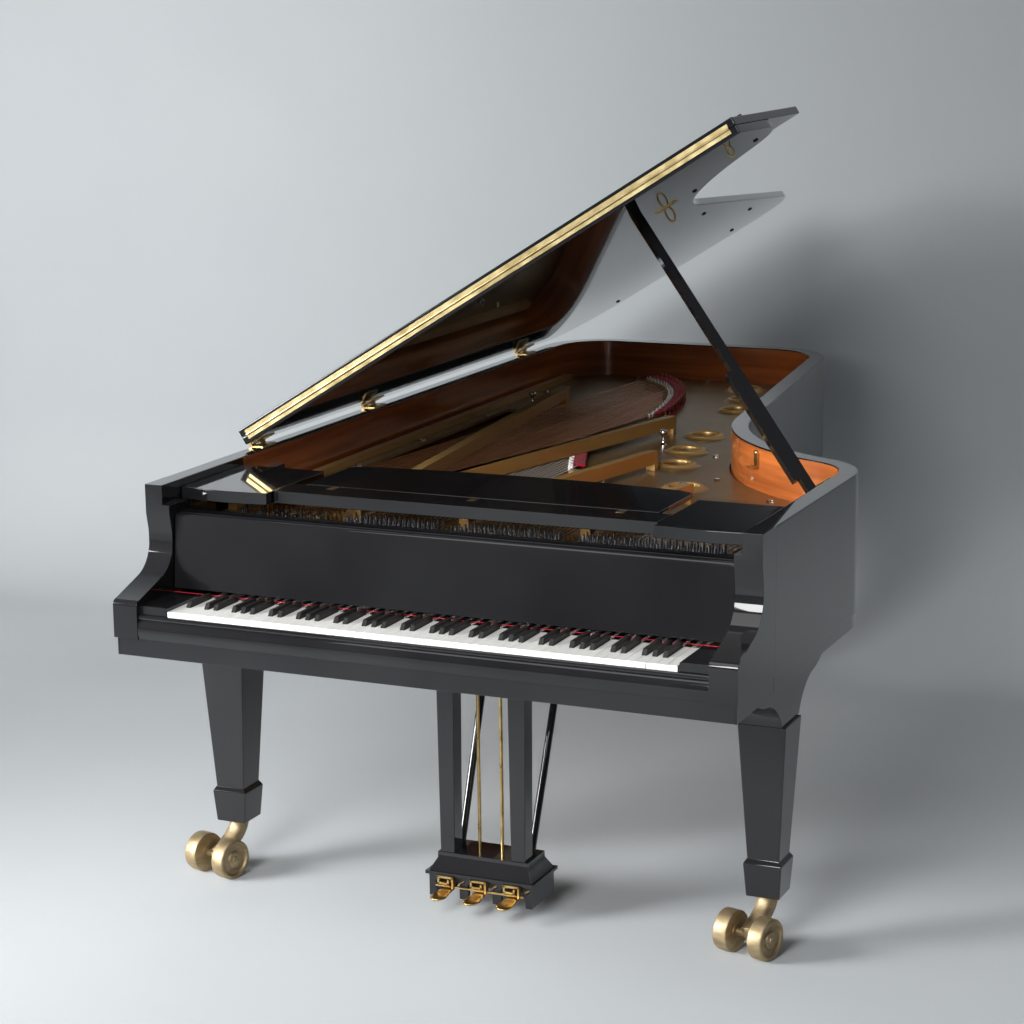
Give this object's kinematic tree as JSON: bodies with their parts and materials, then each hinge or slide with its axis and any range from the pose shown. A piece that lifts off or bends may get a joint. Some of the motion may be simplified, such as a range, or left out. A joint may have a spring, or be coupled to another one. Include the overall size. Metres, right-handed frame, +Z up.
{
  "type": "grand piano",
  "caption": "Black concert grand piano with its lid on the prop, folded front flap, music desk, keyboard, iron plate and strings, pedal lyre, and legs on brass casters.",
  "frame": {"origin": "on the floor under the middle of the whole instrument", "axes": "+X to the treble side on the player's right, +Y from the keyboard to the tail, +Z up"},
  "size_m": [1.525, 2.696, 1.8293],
  "materials": {
    "black_polish": "high-gloss black polish",
    "case_veneer": "polished reddish veneer",
    "spruce": "clear varnish",
    "beech": "planed",
    "plate_bronze": "satin bronze lacquer",
    "brass": "satin",
    "pin_steel": "blued and polished",
    "string_steel": "bright drawn wire",
    "copper_wire": "wound copper",
    "chrome": "polished",
    "red_felt": "woven felt",
    "hammer_felt": "pressed felt on wood",
    "key_white": "polished",
    "key_black": "satin"
  },
  "bodies": {
    "case": {"outer_rim": "black_polish", "inner_rim": "case_veneer", "case_arms": "black_polish", "key_bed": "black_polish", "key_slip": "black_polish", "key_blocks": "black_polish", "nameboard": "black_polish", "rim_braces": "beech", "soundboard": "spruce", "treble_bridge": "beech", "bass_bridge": "beech", "iron_plate": "plate_bronze", "plate_bolts": "chrome", "pin_block": "beech", "tuning_pins": "pin_steel", "string_pins": "brass", "treble_strings": "string_steel", "bass_strings": "copper_wire", "string_felt": "red_felt", "rim_hinge_leaves": "brass", "prop_bracket": "brass", "prop_hook": "brass", "legs": "black_polish", "leg_brackets": "black_polish", "lyre_pillars": "black_polish", "lyre_box": "black_polish", "lyre_braces": "black_polish", "pedal_guards": "brass"},
    "action": {"key_frame": "beech", "action_rails": "beech"},
    "naturals": {"white_keys": "key_white"},
    "sharps": {"black_keys": "key_black"},
    "natural_hammer_bank": {"natural_hammers": "hammer_felt"},
    "sharp_hammer_bank": {"sharp_hammers": "hammer_felt"},
    "damper_bank": {"dampers": "black_polish"},
    "lid": {"lid_main": "black_polish", "flap_hinge_lid_leaf": "brass", "lid_hinge_leaves": "brass", "prop_socket": "brass"},
    "flap": {"lid_flap": "black_polish", "flap_hinge_flap_leaf": "brass"},
    "prop": {"lid_prop": "black_polish"},
    "low_prop": {"short_prop": "black_polish"},
    "fall": {"fallboard": "black_polish"},
    "music": {"music_shelf": "black_polish", "music_wings": "black_polish", "desk_hinges": "brass"},
    "desk": {"music_desk": "black_polish"},
    "left_foot": {"left_pedal": "brass"},
    "left_pull": {"left_rod": "brass"},
    "middle_foot": {"middle_pedal": "brass"},
    "middle_pull": {"middle_rod": "brass"},
    "right_foot": {"right_pedal": "brass"},
    "right_pull": {"right_rod": "brass"},
    "left_swivel": {"left_caster_fork": "brass"},
    "left_rollers": {"left_caster_wheels": "brass"},
    "right_swivel": {"right_caster_fork": "brass"},
    "right_rollers": {"right_caster_wheels": "brass"},
    "tail_swivel": {"tail_caster_fork": "brass"},
    "tail_rollers": {"tail_caster_wheels": "brass"}
  },
  "joints": [
    {"name": "lid_hinge", "type": "hinge", "parent": "case", "child": "lid", "pos_m": [-0.73953, 0.052, 1.009], "axis": [0, -1, 0], "range_deg": [0, 45]},
    {"name": "flap_hinge", "type": "hinge", "parent": "lid", "child": "flap", "pos_m": [-0.75008, -0.731, 1.02628], "axis": [0.8536, 0, 0.521], "range_deg": [0, 180]},
    {"name": "prop_fold", "type": "hinge", "parent": "case", "child": "prop", "pos_m": [0.68647, -0.612, 0.975], "axis": [-0.6967, -0.5806, -0.4213], "range_deg": [0, 52]},
    {"name": "low_prop_fold", "type": "hinge", "parent": "prop", "child": "low_prop", "pos_m": [0.65201, -0.60181, 1.01795], "axis": [0.6967, 0.5806, 0.4213], "range_deg": [0, 60]},
    {"name": "fall_hinge", "type": "hinge", "parent": "case", "child": "fall", "pos_m": [0.01447, -1.1735, 0.777], "axis": [1, 0, 0], "range_deg": [0, 90]},
    {"name": "music_slide", "type": "slide", "parent": "case", "child": "music", "axis": [0, 1, 0], "range_m": [0, 0.15]},
    {"name": "desk_hinge", "type": "hinge", "parent": "music", "child": "desk", "pos_m": [0.01447, -0.9885, 0.982], "axis": [1, 0, 0], "range_deg": [0, 70]},
    {"name": "action_shift", "type": "slide", "parent": "case", "child": "action", "axis": [1, 0, 0], "range_m": [0, 0.003]},
    {"name": "natural_press", "type": "hinge", "parent": "action", "child": "naturals", "pos_m": [0.01447, -1.0935, 0.713], "axis": [1, 0, 0], "range_deg": [0, 2.4], "stiffness_Nm_per_rad": 20, "springref_deg": -14.32},
    {"name": "sharp_press", "type": "hinge", "parent": "action", "child": "sharps", "pos_m": [0.01447, -1.0935, 0.713], "axis": [1, 0, 0], "range_deg": [0, 2.4], "stiffness_Nm_per_rad": 20, "springref_deg": -14.32},
    {"name": "natural_strike", "type": "hinge", "parent": "action", "child": "natural_hammer_bank", "pos_m": [0.01447, -1.0035, 0.838], "axis": [1, 0, 0], "range_deg": [0, 13.7]},
    {"name": "sharp_strike", "type": "hinge", "parent": "action", "child": "sharp_hammer_bank", "pos_m": [0.01447, -1.0035, 0.838], "axis": [1, 0, 0], "range_deg": [0, 13.7]},
    {"name": "damper_lift", "type": "slide", "parent": "case", "child": "damper_bank", "axis": [0, 0, 1], "range_m": [0, 0.006]},
    {"name": "left_pedal_press", "type": "hinge", "parent": "case", "child": "left_foot", "pos_m": [0.01447, -0.928, 0.052], "axis": [1, 0, 0], "range_deg": [0, 5], "stiffness_Nm_per_rad": 6, "springref_deg": -14.32},
    {"name": "left_rod_pull", "type": "slide", "parent": "case", "child": "left_pull", "axis": [0, 0, -1], "range_m": [0, 0.003]},
    {"name": "middle_pedal_press", "type": "hinge", "parent": "case", "child": "middle_foot", "pos_m": [0.01447, -0.928, 0.052], "axis": [1, 0, 0], "range_deg": [0, 5], "stiffness_Nm_per_rad": 6, "springref_deg": -14.32},
    {"name": "middle_rod_pull", "type": "slide", "parent": "case", "child": "middle_pull", "axis": [0, 0, -1], "range_m": [0, 0.003]},
    {"name": "right_pedal_press", "type": "hinge", "parent": "case", "child": "right_foot", "pos_m": [0.01447, -0.928, 0.052], "axis": [1, 0, 0], "range_deg": [0, 5], "stiffness_Nm_per_rad": 6, "springref_deg": -14.32},
    {"name": "right_rod_pull", "type": "slide", "parent": "case", "child": "right_pull", "axis": [0, 0, -1], "range_m": [0, 0.003]},
    {"name": "left_swivel_turn", "type": "hinge", "parent": "case", "child": "left_swivel", "pos_m": [-0.66753, -0.937, 0.1], "axis": [0, 0, 1], "continuous": true},
    {"name": "left_roll", "type": "hinge", "parent": "left_swivel", "child": "left_rollers", "pos_m": [-0.68823, -1.01427, 0.048], "axis": [0.9659, -0.2588, 0], "continuous": true},
    {"name": "right_swivel_turn", "type": "hinge", "parent": "case", "child": "right_swivel", "pos_m": [0.69647, -0.937, 0.1], "axis": [0, 0, 1], "continuous": true},
    {"name": "right_roll", "type": "hinge", "parent": "right_swivel", "child": "right_rollers", "pos_m": [0.67577, -1.01427, 0.048], "axis": [0.9659, -0.2588, 0], "continuous": true},
    {"name": "tail_swivel_turn", "type": "hinge", "parent": "case", "child": "tail_swivel", "pos_m": [-0.2655, 0.88201, 0.1], "axis": [0, 0, 1], "continuous": true},
    {"name": "tail_roll", "type": "hinge", "parent": "tail_swivel", "child": "tail_rollers", "pos_m": [-0.28621, 0.80474, 0.048], "axis": [0.9659, -0.2588, 0], "continuous": true}
  ],
  "couplings": [
    {"joint": "natural_strike", "follows": "natural_press", "ratio": 5.7},
    {"joint": "sharp_strike", "follows": "sharp_press", "ratio": 5.7},
    {"joint": "damper_lift", "follows": "right_pedal_press", "m_per_rad": 0.068},
    {"joint": "action_shift", "follows": "left_pedal_press", "m_per_rad": 0.034},
    {"joint": "left_rod_pull", "follows": "left_pedal_press", "m_per_rad": 0.02796},
    {"joint": "middle_rod_pull", "follows": "middle_pedal_press", "m_per_rad": 0.02796},
    {"joint": "right_rod_pull", "follows": "right_pedal_press", "m_per_rad": 0.02796}
  ]
}
